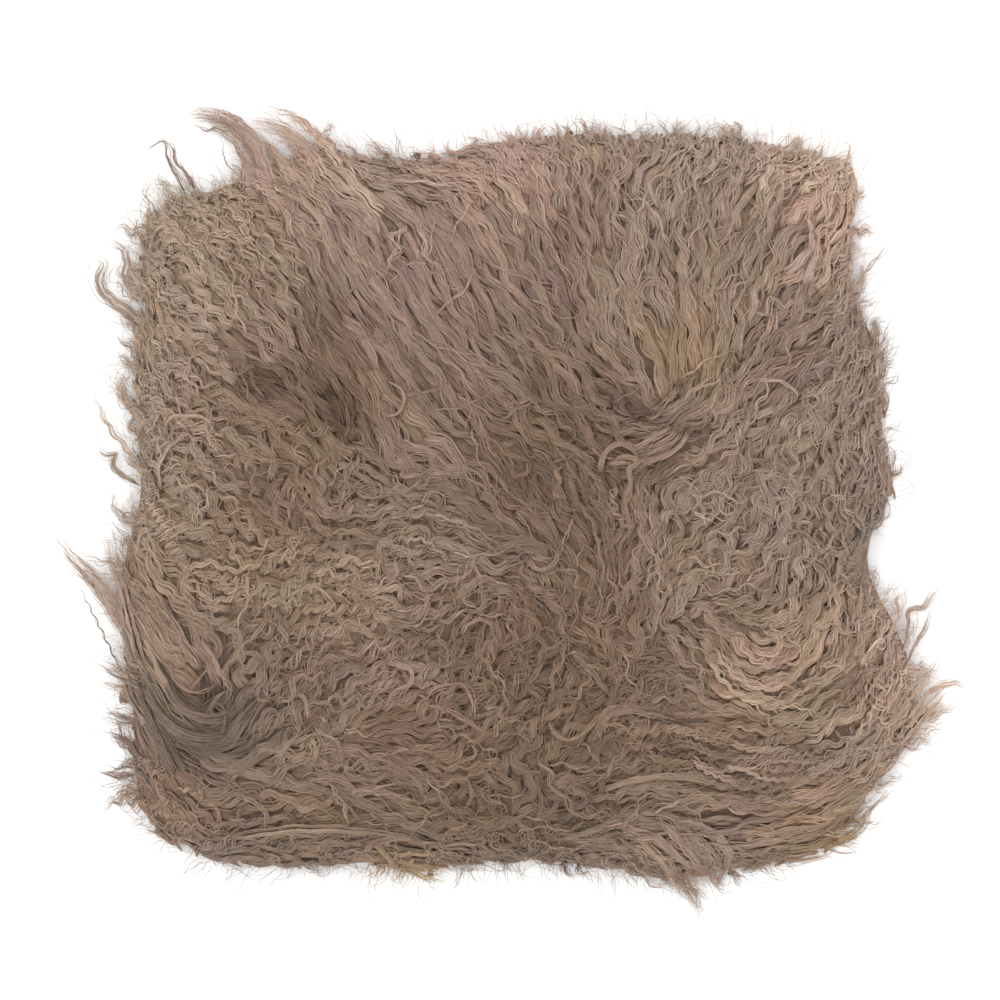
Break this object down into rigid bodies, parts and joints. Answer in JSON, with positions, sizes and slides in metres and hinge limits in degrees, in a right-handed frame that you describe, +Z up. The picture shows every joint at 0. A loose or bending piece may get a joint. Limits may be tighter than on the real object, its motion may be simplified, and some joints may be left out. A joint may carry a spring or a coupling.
{
  "type": "sheepskin seat pad",
  "caption": "Square sheepskin seat pad with rounded corners: a thin tanned hide under long curly wool, with free locks round its rim.",
  "frame": {"origin": "middle of the hide's underside, on the surface that the pad lies on", "axes": "+Z up out of the wool, +Y towards the far edge and +X to the right, seen from above"},
  "size_m": [0.5424, 0.4881, 0.0532],
  "materials": {
    "fleece": "matte",
    "hide": "matte"
  },
  "bodies": {
    "root": {"sheepskin": "fleece"}
  },
  "joints": []
}
